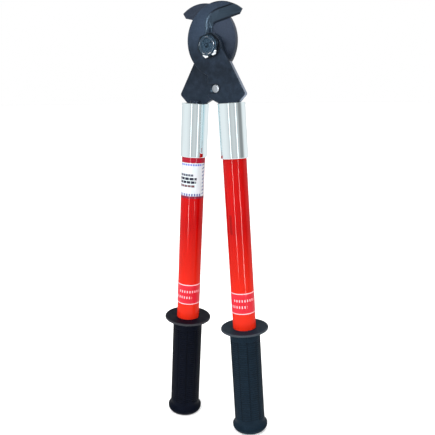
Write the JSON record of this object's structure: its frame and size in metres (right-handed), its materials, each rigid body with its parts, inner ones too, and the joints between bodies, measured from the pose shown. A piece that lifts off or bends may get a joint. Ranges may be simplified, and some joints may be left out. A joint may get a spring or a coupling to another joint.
{
  "type": "cable cutter",
  "caption": "Two-hand shear cutter: crossing hooked jaws on one pivot, chromed ferrules, red fibreglass tube handles and black rubber grips with guard flanges.",
  "frame": {"origin": "on the ground plane, midway between the ends of the two grips", "axes": "+Z from the grips to the cutting head, +X towards the right handle, -Y towards the front, where the pivot nut is"},
  "size_m": [0.1276, 0.0528, 0.4656],
  "materials": {
    "black_oxide_steel": "blackened forged steel, satin",
    "bright_zinc": "bright zinc plate",
    "plain_steel": "plain turned steel",
    "dark_washer_steel": "blackened steel",
    "polished_chrome": "mirror-polished chrome plate",
    "red_fibreglass": "glossy clear-coated fibreglass",
    "black_rubber": "moulded matt rubber",
    "natural_nylon": "moulded nylon",
    "blue_nylon": "moulded nylon",
    "foam": "rigid foam",
    "black_nylon": "moulded nylon",
    "printed_red_wrap": "printed vinyl wrap",
    "white_label": "coated white label"
  },
  "bodies": {
    "rear_side": {"rear_jaw": "black_oxide_steel", "pivot_bolt": "plain_steel", "pivot_nut": "bright_zinc", "nut_lock_ring": "blue_nylon", "front_washer": "dark_washer_steel", "rear_washer": "dark_washer_steel", "stop_pin": "plain_steel", "left_ferrule": "polished_chrome", "left_ferrule_screw": "dark_washer_steel", "left_shank_bush": "natural_nylon", "left_tube": "red_fibreglass", "left_tube_core": "foam", "left_end_plug": "black_nylon", "left_marker_band": "printed_red_wrap", "left_label": "white_label", "left_grip": "black_rubber"},
    "front_side": {"front_jaw": "black_oxide_steel", "right_ferrule": "polished_chrome", "right_ferrule_screw": "dark_washer_steel", "right_shank_bush": "natural_nylon", "right_tube": "red_fibreglass", "right_tube_core": "foam", "right_end_plug": "black_nylon", "right_marker_band": "printed_red_wrap", "right_grip": "black_rubber"}
  },
  "joints": [
    {"name": "jaw_pivot", "type": "hinge", "parent": "rear_side", "child": "front_side", "pos_m": [0, 0, 0.42317], "axis": [0, -1, 0], "range_deg": [0, 120]}
  ]
}
